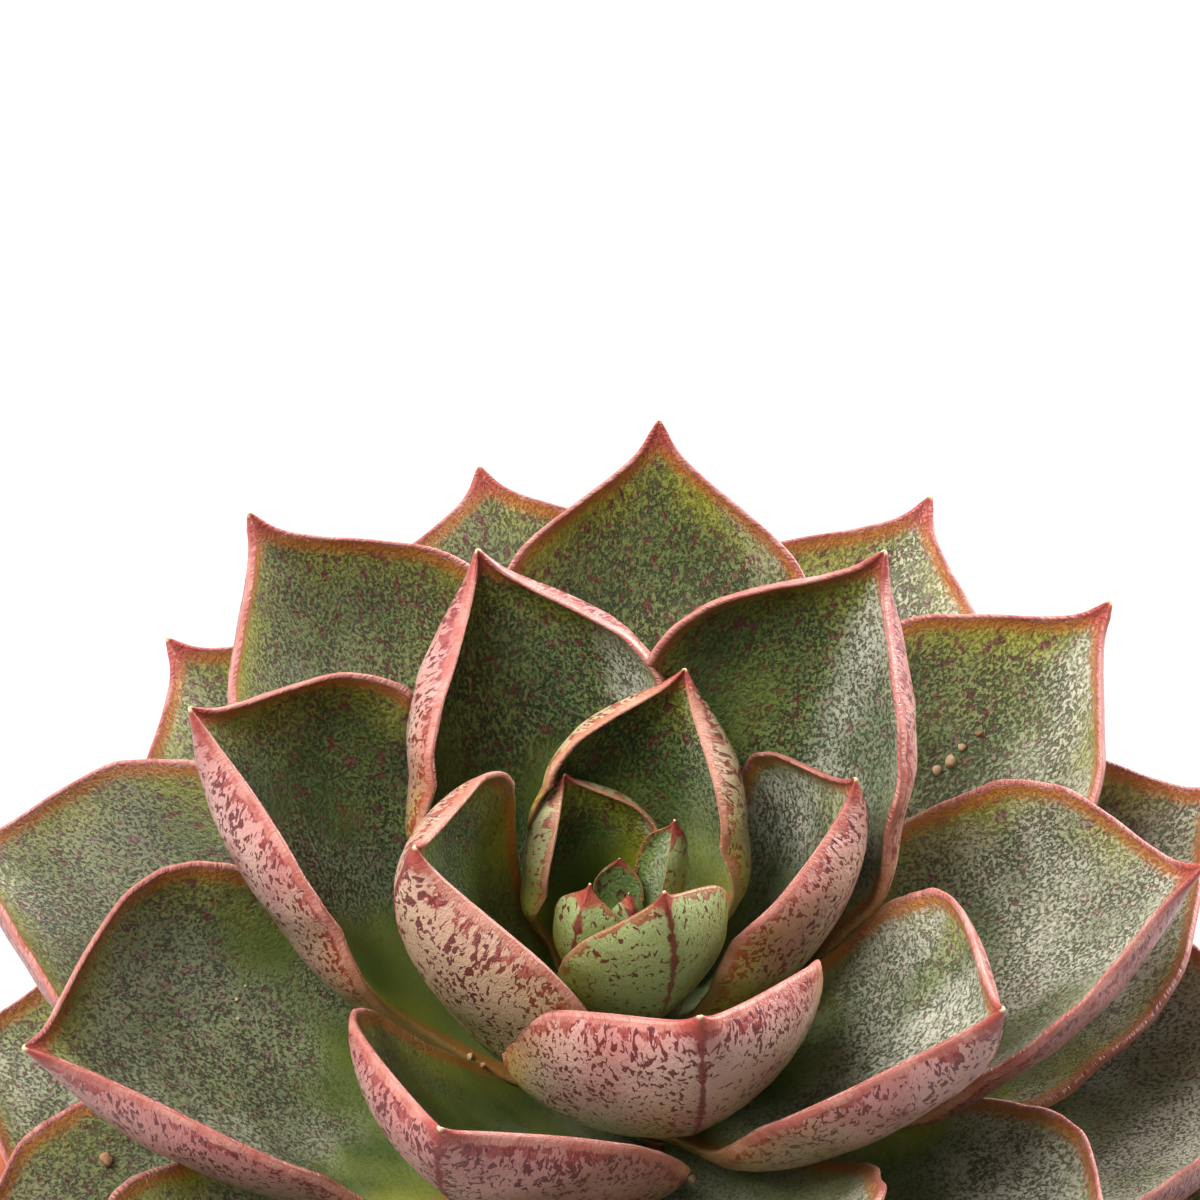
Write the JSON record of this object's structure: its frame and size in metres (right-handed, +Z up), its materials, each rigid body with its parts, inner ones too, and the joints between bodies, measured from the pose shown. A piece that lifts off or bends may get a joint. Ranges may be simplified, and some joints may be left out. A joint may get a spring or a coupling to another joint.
{
  "type": "potted echeveria",
  "caption": "Small rosette succulent with thick, keeled, sharp-tipped mottled leaves edged in red, growing from a short stem in potting mix in a plain round clay pot with a collar.",
  "frame": {"origin": "centre of the pot's flat base, on the surface that the pot stands on", "axes": "+Z up along the pot's and the stem's axis; -Y towards the viewer of the picture"},
  "size_m": [0.08, 0.08, 0.1117],
  "materials": {
    "clay": "matt unglazed terracotta",
    "potting_mix": "rough dark bark and peat mix",
    "stem": "dull green-brown stem",
    "leaf_young": "waxy fresh green with red edge",
    "leaf_grown": "waxy green with grey bloom, dark mottling and red edge",
    "leaf_old": "dull grey-green with pinkish edge"
  },
  "bodies": {
    "root": {"pot": "clay", "soil": "potting_mix", "stem": "stem", "leaf_01": "leaf_young", "leaf_02": "leaf_young", "leaf_03": "leaf_young", "leaf_04": "leaf_young", "leaf_05": "leaf_young", "leaf_06": "leaf_young", "leaf_07": "leaf_young", "leaf_08": "leaf_young", "leaf_09": "leaf_young", "leaf_10": "leaf_grown", "leaf_11": "leaf_grown", "leaf_12": "leaf_grown", "leaf_13": "leaf_grown", "leaf_14": "leaf_grown", "leaf_15": "leaf_grown", "leaf_16": "leaf_grown", "leaf_17": "leaf_grown", "leaf_18": "leaf_grown", "leaf_19": "leaf_grown", "leaf_20": "leaf_grown", "leaf_21": "leaf_grown", "leaf_22": "leaf_old", "leaf_23": "leaf_old", "leaf_24": "leaf_old", "leaf_25": "leaf_old", "leaf_26": "leaf_old", "leaf_27": "leaf_old", "leaf_28": "leaf_old", "leaf_29": "leaf_old", "leaf_30": "leaf_old", "leaf_31": "leaf_old", "leaf_32": "leaf_old", "leaf_33": "leaf_old", "leaf_34": "leaf_old", "leaf_35": "leaf_old", "leaf_36": "leaf_old", "leaf_37": "leaf_old", "leaf_38": "leaf_old", "leaf_39": "leaf_old", "leaf_40": "leaf_old"}
  },
  "joints": []
}
